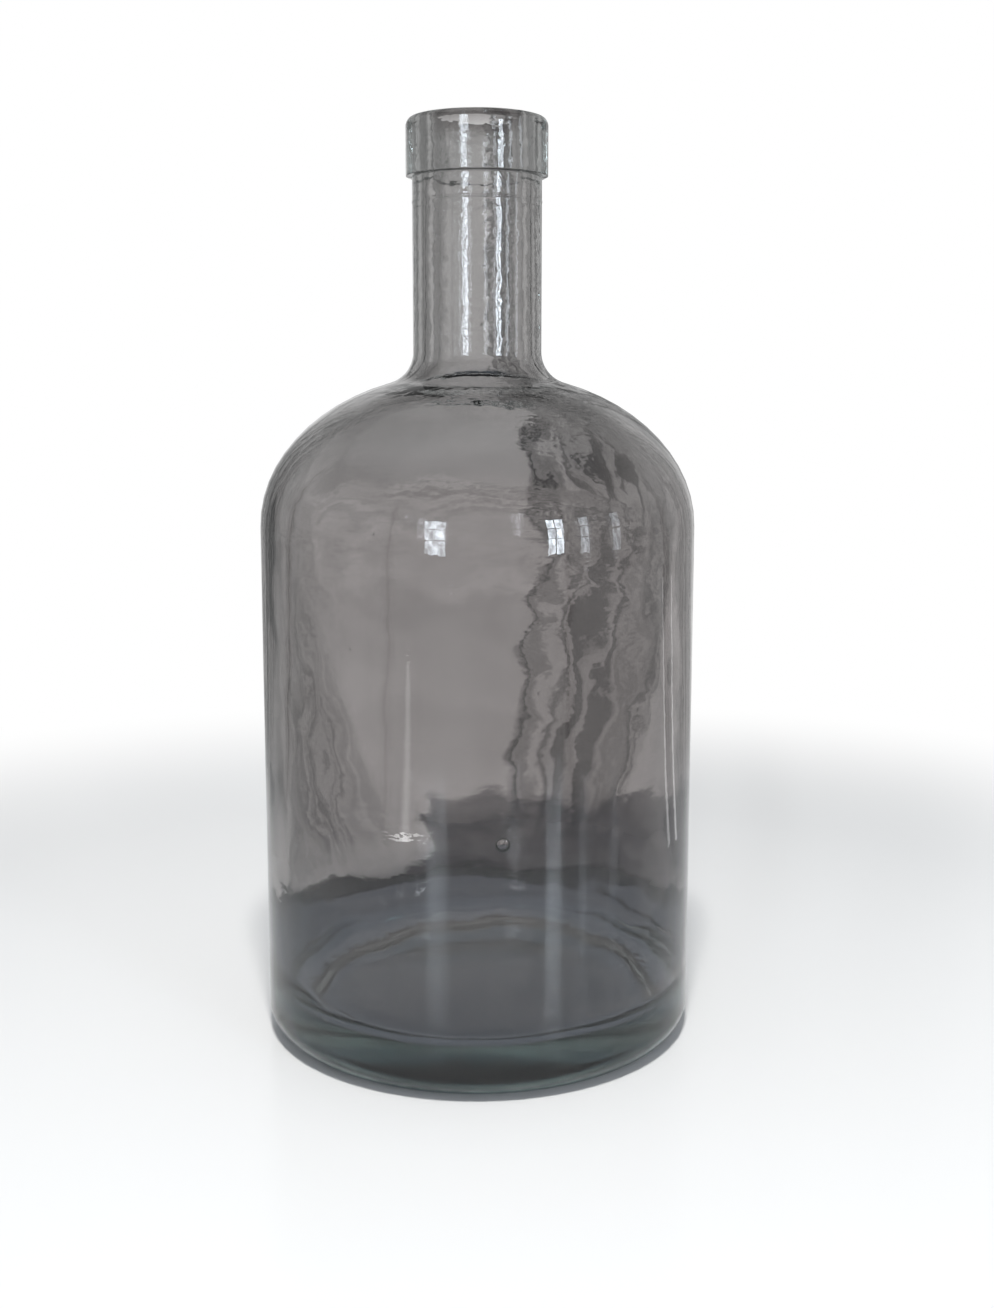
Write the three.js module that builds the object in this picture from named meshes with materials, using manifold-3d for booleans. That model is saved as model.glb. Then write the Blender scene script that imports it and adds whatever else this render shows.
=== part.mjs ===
// A 700 ml bottle of clear glass for a bar-top cork: one moulded piece of glass, open at the mouth.
// Millimetres, +Z up, with the origin on the table, at the middle of the ring that the bottle stands on.

import * as THREE from "three";
import { mergeVertices } from "three/addons/utils/BufferGeometryUtils.js";
import Module from "manifold-3d";

// Body, outside
const bodyDiameter = 93.5;
const bodyHeight = 110.8; // from the table to where the wall starts to turn in
const heelRadius = 6;

// Shoulder, outside: a quarter of an ellipse that leaves the wall upright
const shoulderReach = 43.5; // half-axis across
const shoulderRise = 32.4; // half-axis upright

// Neck and lip, outside
const neckDiameter = 27.4;
const neckHeight = 40.6; // from the crown of the shoulder's ellipse to the underside of the lip
const neckFilletRadius = 6.8;
const lipDiameter = 30;
const lipHeight = 12.2;
const lipTopRadius = 1.6;
const lipUndersideRadius = 0.4;
const mouthRadius = 1.2; // rounding between the rim and the bore

// Line that the two halves of the neck ring leave on the neck
const partingDrop = 5; // below the lip
const partingWidth = 0.9;
const partingHeight = 0.2;

// Inside
const bodyWall = 3.2;
const crownWall = 3.6; // measured upright, at the crown of the shoulder's ellipse
const mouthBore = 18.5;
const neckBore = 19.4; // at the foot of the neck, where the bore is widest
const floorHeight = 10.2; // inside floor at its edge, above the table
const floorCrown = 1.4; // how far the middle of the floor stands above its edge
const innerHeelRadius = 5.2;

// Underside
const standingRingWidth = 2.6;
const pushUpHeight = 4; // middle of the hollow underside, above the table
const pushUpStep = 1.2; // height of the sloping step inside the standing ring
const pushUpStepWidth = 1.3;

// Knurls: short bars across the standing ring, which keep the smooth glass off the table
const knurlHeight = 0.3;
const knurlPitch = 3.1; // along the middle of the ring
const knurlFootWidth = 1.5; // where a bar leaves the ring
const knurlFaceWidth = 0.9; // where it meets the table
const knurlEndMargin = 0.3; // bare ring at each end of a bar

// Fineness of the revolved surface
const turnSteps = 64;
const arcSag = 0.08; // how far a chord of the profile may lie inside its arc

// Sizes that follow
const bodyRadius = bodyDiameter / 2;
const neckRadius = neckDiameter / 2;
const lipRadius = lipDiameter / 2;
const mouthBoreRadius = mouthBore / 2;
const neckBoreRadius = neckBore / 2;
const innerBodyRadius = bodyRadius - bodyWall;
const lipUnderside = bodyHeight + shoulderRise + neckHeight;
const rimHeight = lipUnderside + lipHeight;
const ellipseCentreRadius = bodyRadius - shoulderReach;
const ringOuter = bodyRadius - heelRadius;
const ringInner = ringOuter - standingRingWidth;

const point = (radius, height) => new THREE.Vector2(radius, height);

// Points along an ellipse's arc, both ends included. Angles are in radians, from the +radius direction.
function arc(centre, halfAcross, halfUpright, from, to) {
  const chordAngle = 2 * Math.acos(1 - arcSag / Math.max(halfAcross, halfUpright));
  const steps = Math.max(2, Math.ceil(Math.abs(to - from) / chordAngle));
  return Array.from({ length: steps + 1 }, (_, i) => {
    const angle = from + ((to - from) * i) / steps;
    return point(
      centre.x + halfAcross * Math.cos(angle),
      centre.y + halfUpright * Math.sin(angle),
    );
  });
}

const round = (centre, radius, from, to) => arc(centre, radius, radius, from, to);

// A shallow dome between the axis and a rim point: the part of a circle that passes through both.
function domeFromAxis(rim, apexHeight) {
  const rise = apexHeight - rim.y;
  const radius = (rim.x * rim.x + rise * rise) / (2 * rise);
  const rimAngle = Math.acos(rim.x / radius);
  const centre = point(0, apexHeight - radius);
  const steps = 6;
  return Array.from({ length: steps + 1 }, (_, i) => {
    const angle = Math.PI / 2 + ((rimAngle - Math.PI / 2) * i) / steps;
    return point(i === 0 ? 0 : radius * Math.cos(angle), centre.y + radius * Math.sin(angle));
  });
}

// Where a fillet of the given radius touches both the shoulder's ellipse and an upright neck line.
// Its centre lies on the ellipse's outward normal, so the angle on the ellipse is found by halving.
function neckFillet(halfAcross, halfUpright, neckLineRadius, filletRadius) {
  const target = neckLineRadius + filletRadius;
  const touch = (t) => {
    const normal = point(halfUpright * Math.cos(t), halfAcross * Math.sin(t)).normalize();
    const onEllipse = point(
      ellipseCentreRadius + halfAcross * Math.cos(t),
      bodyHeight + halfUpright * Math.sin(t),
    );
    return { onEllipse, normal, centre: onEllipse.clone().addScaledVector(normal, filletRadius) };
  };
  let low = 0;
  let high = Math.PI / 2;
  while (high - low > 1e-9) {
    const middle = (low + high) / 2;
    if (touch(middle).centre.x > target) low = middle;
    else high = middle;
  }
  const { normal, centre } = touch(high);
  return { ellipseEnd: high, centre, filletStart: Math.atan2(-normal.y, -normal.x) };
}

// The shoulder and the foot of the neck, from the body wall up, for the outside or the inside.
function shoulderLine(wall, crown, neckLineRadius, filletRadius) {
  const across = shoulderReach - wall;
  const upright = shoulderRise - crown;
  const { ellipseEnd, centre, filletStart } = neckFillet(
    across, upright, neckLineRadius, filletRadius,
  );
  return [
    ...arc(point(ellipseCentreRadius, bodyHeight), across, upright, 0, ellipseEnd),
    ...round(centre, filletRadius, filletStart + 2 * Math.PI, Math.PI).slice(1),
  ];
}

// Underside: the hollow push-up, its sloping step and the standing ring.
function undersideLine() {
  const stepTop = point(ringInner - pushUpStepWidth, knurlHeight + pushUpStep);
  return [
    ...domeFromAxis(stepTop, pushUpHeight),
    point(ringInner, knurlHeight),
  ];
}

// Heel, body wall, shoulder and neck, up to the underside of the lip.
function outsideLine() {
  const heel = point(ringOuter, knurlHeight + heelRadius);
  const bead = lipUnderside - partingDrop;
  return [
    ...round(heel, heelRadius, -Math.PI / 2, 0),
    ...shoulderLine(0, 0, neckRadius, neckFilletRadius),
    point(neckRadius, bead - partingWidth / 2),
    point(neckRadius + partingHeight, bead),
    point(neckRadius, bead + partingWidth / 2),
    point(neckRadius, lipUnderside),
  ];
}

// Lip band, flat rim and the rounded edge of the mouth.
function lipLine() {
  const underside = point(lipRadius - lipUndersideRadius, lipUnderside + lipUndersideRadius);
  const top = point(lipRadius - lipTopRadius, rimHeight - lipTopRadius);
  const mouth = point(mouthBoreRadius + mouthRadius, rimHeight - mouthRadius);
  return [
    ...round(underside, lipUndersideRadius, -Math.PI / 2, 0),
    ...round(top, lipTopRadius, 0, Math.PI / 2),
    ...round(mouth, mouthRadius, Math.PI / 2, Math.PI),
  ];
}

// Bore, inner shoulder, inner wall and floor, from the mouth down to the axis.
function insideLine() {
  const throatRadius = neckFilletRadius + neckRadius - neckBoreRadius;
  const heel = point(innerBodyRadius - innerHeelRadius, floorHeight + innerHeelRadius);
  const floorEdge = point(innerBodyRadius - innerHeelRadius, floorHeight);
  return [
    ...shoulderLine(bodyWall, crownWall, neckBoreRadius, throatRadius).reverse(),
    ...round(heel, innerHeelRadius, 0, -Math.PI / 2),
    ...domeFromAxis(floorEdge, floorHeight + floorCrown).reverse().slice(1),
  ];
}

const clearGlass = new THREE.MeshStandardMaterial({
  name: "clear_glass",
  color: 0x9fa5a3,
  roughness: 0.05,
  metalness: 0,
  transparent: true,
  opacity: 0.35,
});

// The bottle without its knurls: one profile turned round the axis.
function revolvedGlass() {
  const profile = [...undersideLine(), ...outsideLine(), ...lipLine(), ...insideLine()];
  return new THREE.LatheGeometry(profile, turnSteps).rotateX(Math.PI / 2);
}

// One knurl on the +X side, from the table up to its root inside the glass.
function knurl() {
  const root = knurlHeight; // how far the bar runs on into the glass
  const rootWidth = knurlFootWidth;
  const section = new THREE.Shape([
    point(-knurlFaceWidth / 2, 0),
    point(knurlFaceWidth / 2, 0),
    point(knurlFootWidth / 2, knurlHeight),
    point(rootWidth / 2, knurlHeight + root),
    point(-rootWidth / 2, knurlHeight + root),
    point(-knurlFootWidth / 2, knurlHeight),
  ]);
  const depth = standingRingWidth - 2 * knurlEndMargin;
  const bar = new THREE.ExtrudeGeometry(section, { depth, bevelEnabled: false });
  bar.rotateX(Math.PI / 2).rotateZ(Math.PI / 2); // section upright, bar along +X
  return bar.translate(ringInner + knurlEndMargin, 0, 0);
}

const wasm = await Module();
wasm.setup();

function solidOf(geometry) {
  const bare = geometry.clone().deleteAttribute("normal").deleteAttribute("uv");
  const merged = mergeVertices(bare, 1e-3);
  return new wasm.Manifold(new wasm.Mesh({
    numProp: 3,
    vertProperties: merged.getAttribute("position").array,
    triVerts: new Uint32Array(merged.index.array),
  }));
}

function geometryOf(solid) {
  const { vertProperties, triVerts } = solid.getMesh();
  const geometry = new THREE.BufferGeometry();
  geometry.setAttribute("position", new THREE.BufferAttribute(vertProperties, 3));
  geometry.setIndex(new THREE.BufferAttribute(triVerts, 1));
  geometry.computeVertexNormals();
  return geometry;
}

function glassBottle() {
  const middleOfRing = (ringInner + ringOuter) / 2;
  const count = Math.round((2 * Math.PI * middleOfRing) / knurlPitch);
  let glass = solidOf(revolvedGlass());
  for (let i = 0; i < count; i++) {
    glass = glass.add(solidOf(knurl().rotateZ((2 * Math.PI * i) / count)));
  }
  const mesh = new THREE.Mesh(geometryOf(glass), clearGlass);
  mesh.name = "glass_bottle";
  return mesh;
}

const bottle = new THREE.Group();
bottle.name = "bottle";
bottle.add(glassBottle());

export default bottle;
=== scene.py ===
"""A clear glass bottle for a bar-top cork, on a pale floor.

The bottle is one piece of glass. Geometry Nodes turn its wall from one closed outline and give it
the mould seams, the knurls it stands on, the uneven inside of blown glass and a few seeds.
Lengths are in metres, +Z is up, and the origin is on the ground under the middle of the bottle.
"""

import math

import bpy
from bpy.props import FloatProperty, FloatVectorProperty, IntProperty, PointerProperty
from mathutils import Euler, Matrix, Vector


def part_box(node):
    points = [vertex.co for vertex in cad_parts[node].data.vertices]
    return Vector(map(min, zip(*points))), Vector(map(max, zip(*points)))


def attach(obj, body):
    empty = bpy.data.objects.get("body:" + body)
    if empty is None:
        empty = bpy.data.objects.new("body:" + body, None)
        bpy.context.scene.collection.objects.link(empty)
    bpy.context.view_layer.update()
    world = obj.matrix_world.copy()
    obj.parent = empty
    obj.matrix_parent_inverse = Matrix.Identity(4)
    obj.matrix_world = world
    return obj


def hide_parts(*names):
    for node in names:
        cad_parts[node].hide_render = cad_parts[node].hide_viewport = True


bl_info = {
    "name": "Glass Bottle",
    "version": (1, 0, 0),
    "blender": (4, 5, 0),
    "location": "3D View > Sidebar > Bottle",
    "description": "Turns a glass bottle from its sizes, gives it its glass and sets a pale stage",
    "category": "Object",
}

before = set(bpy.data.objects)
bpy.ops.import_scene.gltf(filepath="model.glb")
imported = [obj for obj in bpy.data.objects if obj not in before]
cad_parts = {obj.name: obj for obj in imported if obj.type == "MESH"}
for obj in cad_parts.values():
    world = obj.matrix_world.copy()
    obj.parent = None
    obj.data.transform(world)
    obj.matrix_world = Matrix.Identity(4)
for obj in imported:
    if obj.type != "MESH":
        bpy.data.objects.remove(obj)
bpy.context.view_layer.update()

NODE = "glass_bottle"
BODY = "root"
MM = 0.001
QUARTER = math.pi / 2
WHITE = (1.0, 1.0, 1.0, 1.0)

node_low, node_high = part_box(NODE)


def length(name, default, description):
    return FloatProperty(
        name=name, description=description, default=default,
        min=0.0, precision=5, unit="LENGTH", subtype="DISTANCE",
    )


def mm(name, size, description):
    """A length that is stated in millimetres."""
    return length(name, size * MM, description)


def angle(name, degrees, description):
    return FloatProperty(
        name=name, description=description, default=math.radians(degrees),
        unit="ROTATION", subtype="ANGLE",
    )


def colour(name, default, description):
    return FloatVectorProperty(
        name=name, description=description, default=default,
        size=3, min=0.0, max=1.0, subtype="COLOR",
    )


def number(name, default, description):
    return FloatProperty(name=name, description=description, default=default)


def whole(name, default, description):
    return IntProperty(name=name, description=description, default=default)


def new_object(name, data):
    made = bpy.data.objects.new(name, data)
    bpy.context.scene.collection.objects.link(made)
    return made


class BottleSizes(bpy.types.PropertyGroup):
    """The sizes of the glass, as the mould maker would state them."""

    body_diameter: length("Body diameter", node_high.x - node_low.x, "Outside of the body")
    height: length("Height", node_high.z, "From ground to rim")
    body_height: mm("Body height", 110.8, "From ground to shoulder")
    heel_radius: mm("Heel radius", 6, "Rounding from wall to ring")
    shoulder_reach: mm("Shoulder reach", 43.5, "Half the shoulder's ellipse, across")
    shoulder_rise: mm("Shoulder rise", 32.4, "Half the shoulder's ellipse, upright")
    neck_diameter: mm("Neck diameter", 27.4, "Outside of the neck")
    neck_fillet: mm("Neck fillet", 6.8, "Hollow from shoulder to neck")
    lip_diameter: mm("Lip diameter", 30, "Outside of the lip band")
    lip_height: mm("Lip height", 12.2, "Height of the lip band")
    lip_top_radius: mm("Lip top radius", 1.6, "Rounding of the band's upper edge")
    lip_edge_radius: mm("Lip edge radius", 0.4, "Rounding of the band's lower edge")
    lip_corner_radius: mm("Lip corner radius", 0.35, "Hollow under the band")
    neck_skin: number("Neck skin", 0.88, "Share of the skin's tint on neck and lip")
    mouth_skin: mm("Mouth skin", 1.8, "How far the skin turns into the bore")
    mouth_radius: mm("Mouth radius", 1.2, "Rounding from rim to bore")
    parting_drop: mm("Parting drop", 5, "From lip to the neck ring's line")
    parting_width: mm("Parting width", 0.9, "Width of the neck ring's line")
    parting_height: mm("Parting height", 0.1, "How far that line stands out")
    body_wall: mm("Body wall", 3.2, "Thickness of the straight wall")
    crown_wall: mm("Crown wall", 3.6, "Upright thickness at the shoulder's crown")
    mouth_bore: mm("Mouth bore", 18.5, "Bore at the rim, which takes the cork")
    neck_bore: mm("Neck bore", 19.4, "Bore at the foot of the neck")
    throat_radius: mm("Throat radius", 10.8, "Hollow from inner shoulder to bore")
    floor_height: mm("Floor height", 10.2, "Inside floor's edge, above ground")
    floor_crown: mm("Floor crown", 1.4, "How much higher its middle is")
    inner_heel_radius: mm("Inner heel radius", 5.2, "Rounding from floor to wall")
    ring_width: mm("Ring width", 2.6, "Width of the standing ring")
    push_up_height: mm("Push-up height", 4, "Middle of the underside")
    push_up_step: mm("Push-up step", 1.2, "Height of the slope in the ring")
    push_up_step_width: mm("Step width", 1.3, "Width of the slope in the ring")
    knurl_height: mm("Knurl height", 0.3, "How far the knurls lift the ring")
    knurl_end: mm("Knurl end", 0.3, "Bare ring at each end of a knurl")
    knurls: whole("Knurls", 80, "Bars round the standing ring")


class BottleGlass(bpy.types.PropertyGroup):
    """What makes the wall look blown and moulded, and the glass's own colour."""

    columns: whole("Columns", 320, "Faces round the axis")
    seam_height: mm("Seam height", 0.1, "How far the two mould seams stand out")
    seam_width: mm("Seam width", 0.35, "Half the width of a mould seam")
    wander: mm("Wander", 1.0, "How far the inside strays")
    wander_size: mm("Wander size", 55, "Size of the broad swells inside")
    unrest: number("Unrest", 0.62, "Share of each finer swell inside")
    ripple: mm("Ripple", 0.08, "Depth of the fine ripples inside")
    ripple_size: mm("Ripple size", 12, "Height of a fine ripple")
    swell: mm("Outer swell", 0.06, "How far the outside sinks in")
    swell_size: mm("Outer swell size", 14, "Size of the swells outside")
    off_centre: mm("Off centre", 0.7, "How far the inside is shifted to +X")
    seed_count: whole("Seeds", 14, "Small bubbles in the wall")
    seed_radius: mm("Seed radius", 0.22, "Half the width of a common seed")
    seed_low: mm("Lowest seed", 16, "Least height of a seed")
    seed_high: mm("Highest seed", 106, "Greatest height of a seed")
    big_seed_radius: mm("Big seed radius", 1.45, "Half the width of the one large seed")
    big_seed_height: mm("Big seed height", 52.9, "The large seed's height")
    big_seed_angle: angle("Big seed angle", 6.0, "Its turn to the right of the front")
    random_seed: whole("Random seed", 7, "Fixes every random choice")
    surface_tint: colour("Surface tint", (0.278, 0.250, 0.248), "What the outside lets through")
    streaks: number("Streaks", 0.06, "How much streaks change that tint")
    depth_tint: colour("Depth tint", (0.25, 0.57, 0.55), "Colour of thick glass")
    depth_density: number("Depth density", 16.0, "Strength of that colour, per metre")
    haze: number("Haze", 0.05, "Roughness of the haziest spots")
    base_roughness: number("Base roughness", 0.11, "Roughness of the underside")
    crinkle: mm("Crinkle", 0.13, "Depth of the fine dents on the neck")
    body_crinkle: number("Body crinkle", 0.135, "Share of that depth on the body")
    refraction: number("Refraction", 1.5, "Refractive index of the glass")


class BottleStage(bpy.types.PropertyGroup):
    """Floor, world, lamps and camera."""

    floor_radius: length("Floor radius", 4.0, "Radius of the round floor")
    floor_clear: length("Plain floor", 0.17, "Where the lit floor starts to fade out")
    floor_fade: length("Faded floor", 0.34, "Where the floor has become the background")
    glass_fade: length("Fade in glass", 0.15, "The same, seen through the glass")
    floor_tint: colour("Floor tint", (0.90, 0.90, 0.90), "Colour of the lit floor")
    floor_roughness: number("Floor roughness", 0.18, "Roughness of the lit floor")
    floor_index: number("Floor index", 1.45, "Refractive index of the floor's satin top")
    # The shade below is painted: a darker floor round the bottle that only the glass shows, in
    # place of its shadow.
    shade_reach: length("Shade reach", 0.106, "How far the shade reaches behind")
    shade_front: length("Shade front", 0.056, "How far it reaches in front")
    shade_spread: number("Shade spread", 1.3, "How much further it reaches aside")
    shade_edge: length("Shade edge", 0.017, "Width of the shade's darker edge")
    shade_tint: colour("Shade tint", (0.235, 0.28, 0.345), "Colour of that shade")
    # A painted dark patch behind that shade, which only the glass shows.
    painted_patch_tint: colour("Corner tint", (0.035, 0.03, 0.045), "Colour of the corner behind it")
    straying: length("Straying", 0.05, "How far outlines on the floor stray")
    even_tint: colour("Even tint", (0.91, 0.955, 1.0), "Colour of the even light")
    even_level: number("Even level", 0.40, "Strength of the even light")
    dim_from: angle("Dim from", 14.0, "Elevation at which the panels start to fade")
    dim_to: angle("Dim to", 43.0, "Elevation where they have faded")
    dim_level: number("Dim level", 0.15, "Brightness of gaps and overhead")
    patches: number("Patches", 0.32, "Depth of the panels' soft patches")
    key_power: number("Key power", 4.2, "Power of the high soft lamp, in watts")
    key_tint: colour("Key tint", (1.0, 0.99, 0.97), "Colour of the high soft lamp")
    key_size: length("Key size", 0.08, "Side of the high soft lamp")
    key_distance: length("Key distance", 0.65, "From the bottle to that lamp")
    key_elevation: angle("Key elevation", 60.0, "How high the soft lamp hangs")
    lamp_aim: length("Lamp aim", 0.12, "Height that lamps point at")
    window_power: number("Window power", 5.0, "Power of the left window, in watts")
    window_tint: colour("Window tint", (0.82, 0.91, 1.0), "Colour of the windows")
    window_height: length("Window height", 0.46, "Height of each window")
    window_distance: length("Window distance", 1.2, "From the bottle to the windows")
    window_elevation: angle("Window elevation", 5.0, "How high the windows stand")
    camera_distance: mm("Camera distance", 333.8, "From axis to camera")
    camera_height: mm("Camera height", 142.9, "From ground to camera")
    camera_pitch: angle("Camera pitch", 8.0, "How far the camera looks down")
    camera_yaw: angle("Camera yaw", 0.72, "How far it looks right of the axis")
    camera_shift: number("Camera shift", -0.048, "Upright shift of the frame, in long sides")
    camera_lens: number("Lens", 42.5, "Focal length in mm, for a 36 mm side")


# The outline: a closed line from the axis on the underside, round the outside and down the inside.

ARC_STEP = math.radians(6)
STRAIGHT_STEP = 2.5 * MM
NECK_STEP = 1.4 * MM
LIP_STEP = 2 * MM
RIM_STEP = 1 * MM
BORE_STEP = 1.8 * MM
ROUNDING_STEPS = 8
CLOSEST = 0.01 * MM

# What a row of the outline takes from the nodes, as shares: outside the outer swell, inside the
# wandering of blown glass, seam the mould seams, ring the knurls, skin the surface tint, and matt
# the roughness of the underside.
SHARES = {"outside": 1.0, "inside": 0.0, "seam": 0.0, "ring": 0.0, "skin": 1.0, "matt": 0.0}

# Shares of the wandering in the bore, at the inner heel and on the floor. The wall takes it whole.
BORE_WANDER, HEEL_WANDER, FLOOR_WANDER = 0.3, 1.4, 1.2


class Outline:
    """Points of the outline, each with its shares."""

    def __init__(self):
        self.points = []
        self.shares = {name: [] for name in SHARES}

    def add(self, points, **shares):
        for point in points:
            if self.points and math.dist(self.points[-1], point) < CLOSEST:
                continue
            self.points.append(point)
            for name, usual in SHARES.items():
                self.shares[name].append(shares.get(name, usual))


def arc(centre, across, upright, start, end, steps=None):
    """Points on an ellipse's arc, both ends included."""
    steps = steps or max(2, math.ceil(abs(end - start) / ARC_STEP))
    angles = [start + (end - start) * i / steps for i in range(steps + 1)]
    return [(centre[0] + across * math.cos(a), centre[1] + upright * math.sin(a)) for a in angles]


def corner(centre, radius, start, end, steps=5):
    """Points round a small rounding."""
    return arc(centre, radius, radius, start, end, steps)


def straight(start, end, step=STRAIGHT_STEP):
    """Points along a line, both ends included."""
    steps = max(1, math.ceil(math.dist(start, end) / step))
    return [
        (start[0] + (end[0] - start[0]) * i / steps, start[1] + (end[1] - start[1]) * i / steps)
        for i in range(steps + 1)
    ]


def dome(rim, apex_height, steps=8):
    """A shallow dome from the axis out to a rim point."""
    rise = apex_height - rim[1]
    radius = (rim[0] ** 2 + rise ** 2) / (2 * rise)
    reach = math.asin(rim[0] / radius)
    angles = [reach * i / steps for i in range(steps + 1)]
    return [(radius * math.sin(a), apex_height - radius + radius * math.cos(a)) for a in angles]


def shoulder(sizes, wall, crown, neck_radius, fillet):
    """The shoulder's ellipse and the hollow that leads it into an upright neck line."""
    across = sizes.shoulder_reach - wall
    upright = sizes.shoulder_rise - crown
    middle = (sizes.body_diameter / 2 - sizes.shoulder_reach, sizes.body_height)

    def hollow(t):
        normal = Vector((upright * math.cos(t), across * math.sin(t))).normalized()
        touch = Vector((middle[0] + across * math.cos(t), middle[1] + upright * math.sin(t)))
        return touch + normal * fillet, normal

    low, high = 0.0, QUARTER
    while high - low > 1e-9:
        half = (low + high) / 2
        if hollow(half)[0].x > neck_radius + fillet:
            low = half
        else:
            high = half
    centre, normal = hollow(high)
    start = math.atan2(-normal.y, -normal.x) + 2 * math.pi
    return arc(middle, across, upright, 0, high) + arc(centre, fillet, fillet, start, math.pi)


def bottle_outline(sizes):
    """The whole closed section of the glass."""
    line = Outline()
    for add_part in (add_underside, add_wall, add_neck, add_lip, add_inside):
        add_part(line, sizes)
    return line


def add_underside(line, sizes):
    """Push-up, its sloping step and the standing ring, from the axis outwards."""
    outer = sizes.body_diameter / 2 - sizes.heel_radius
    inner = outer - sizes.ring_width
    ring = sizes.knurl_height
    step_top = (inner - sizes.push_up_step_width, ring + sizes.push_up_step)
    line.add(dome(step_top, sizes.push_up_height), matt=1.0)
    line.add(straight(step_top, (inner, ring), sizes.push_up_step / 3), matt=1.0)
    knurled = straight(
        (inner + sizes.knurl_end, ring), (outer - sizes.knurl_end, ring), sizes.ring_width / 6)
    line.add(knurled, ring=1.0, matt=1.0)
    line.add([(outer, ring)], matt=1.0)


def add_wall(line, sizes):
    """Heel, body wall and shoulder, where the skin thins towards the neck."""
    body = sizes.body_diameter / 2
    heel = (body - sizes.heel_radius, sizes.knurl_height + sizes.heel_radius)
    for point in arc(heel, sizes.heel_radius, sizes.heel_radius, -QUARTER, 0):
        line.add([point], seam=(point[1] - sizes.knurl_height) / sizes.heel_radius)
    line.add(straight((body, heel[1]), (body, sizes.body_height)), seam=1.0)
    points = shoulder(sizes, 0, 0, sizes.neck_diameter / 2, sizes.neck_fillet)
    for point in points:
        climb = (point[1] - sizes.body_height) / (points[-1][1] - sizes.body_height)
        line.add([point], seam=1.0, skin=1 - (1 - sizes.neck_skin) * min(1.0, 2 * climb))


def add_neck(line, sizes):
    """Neck with the neck ring's line, up to the lip's underside."""
    neck, lip_bottom = sizes.neck_diameter / 2, sizes.height - sizes.lip_height
    bead_middle = lip_bottom - sizes.parting_drop
    bead_start = bead_middle - sizes.parting_width / 2
    bead_end = bead_middle + sizes.parting_width / 2
    upper = {"seam": 1.0, "skin": sizes.neck_skin}
    line.add(straight((neck, line.points[-1][1]), (neck, bead_start), NECK_STEP), **upper)
    line.add(parting_bead(sizes, neck, bead_start), **upper)
    under_lip = (neck + sizes.lip_corner_radius, lip_bottom - sizes.lip_corner_radius)
    line.add(straight((neck, bead_end), (neck, under_lip[1])), **upper)
    line.add(corner(under_lip, sizes.lip_corner_radius, math.pi, QUARTER), **upper)


def parting_bead(sizes, neck, start, steps=8):
    """The neck ring's line: one smooth swell."""
    points = []
    for i in range(steps + 1):
        swell = (1 - math.cos(2 * math.pi * i / steps)) / 2
        height = start + sizes.parting_width * i / steps
        points.append((neck + sizes.parting_height * swell, height))
    return points


def add_lip(line, sizes):
    """Lip band, flat rim and the rounded edge of the mouth."""
    lip, rim = sizes.lip_diameter / 2, sizes.height
    skin = sizes.neck_skin
    edge = (lip - sizes.lip_edge_radius, rim - sizes.lip_height + sizes.lip_edge_radius)
    line.add(corner(edge, sizes.lip_edge_radius, -QUARTER, 0), seam=1.0, skin=skin)
    top = (lip - sizes.lip_top_radius, rim - sizes.lip_top_radius)
    line.add(straight((lip, edge[1]), (lip, top[1]), LIP_STEP), seam=1.0, skin=skin)
    for step, point in enumerate(corner(top, sizes.lip_top_radius, 0, QUARTER, ROUNDING_STEPS)):
        line.add([point], seam=1 - step / ROUNDING_STEPS, skin=skin)
    mouth = (sizes.mouth_bore / 2 + sizes.mouth_radius, rim - sizes.mouth_radius)
    line.add(straight((top[0], rim), (mouth[0], rim), RIM_STEP), skin=skin)
    edge = corner(mouth, sizes.mouth_radius, QUARTER, math.pi, ROUNDING_STEPS)
    for step, point in enumerate(edge):
        line.add([point], outside=1 - step / ROUNDING_STEPS, skin=skin)


def add_inside(line, sizes):
    """Bore, inner shoulder, inner wall and floor, from the mouth down to the axis."""
    bore = sizes.neck_bore / 2
    inner = sizes.body_diameter / 2 - sizes.body_wall
    mouth = (sizes.mouth_bore / 2, sizes.height - sizes.mouth_radius)
    inner_shoulder = shoulder(
        sizes, sizes.body_wall, sizes.crown_wall, bore, sizes.throat_radius)[::-1]
    for point in straight(mouth, inner_shoulder[0], BORE_STEP):
        depth = (mouth[1] - point[1]) / sizes.lip_height
        mouth_skin = max(0.0, min(1.0, 2 - (sizes.height - point[1]) / sizes.mouth_skin))
        line.add(
            [point], outside=0.0, inside=BORE_WANDER * min(1.0, depth),
            skin=mouth_skin * sizes.neck_skin)
    bare = {"outside": 0.0, "skin": 0.0}
    for point in inner_shoulder:
        fall = (inner_shoulder[0][1] - point[1]) / (inner_shoulder[0][1] - sizes.body_height)
        line.add([point], inside=BORE_WANDER + (1 - BORE_WANDER) * min(1.0, fall), **bare)
    heel = (inner - sizes.inner_heel_radius, sizes.floor_height + sizes.inner_heel_radius)
    line.add(straight((inner, sizes.body_height), (inner, heel[1])), inside=1.0, **bare)
    inner_heel = arc(heel, sizes.inner_heel_radius, sizes.inner_heel_radius, 0, -QUARTER)
    line.add(inner_heel, inside=HEEL_WANDER, **bare)
    inner_floor = dome((heel[0], sizes.floor_height), sizes.floor_height + sizes.floor_crown)
    line.add(inner_floor[::-1], inside=FLOOR_WANDER, **bare)


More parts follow.
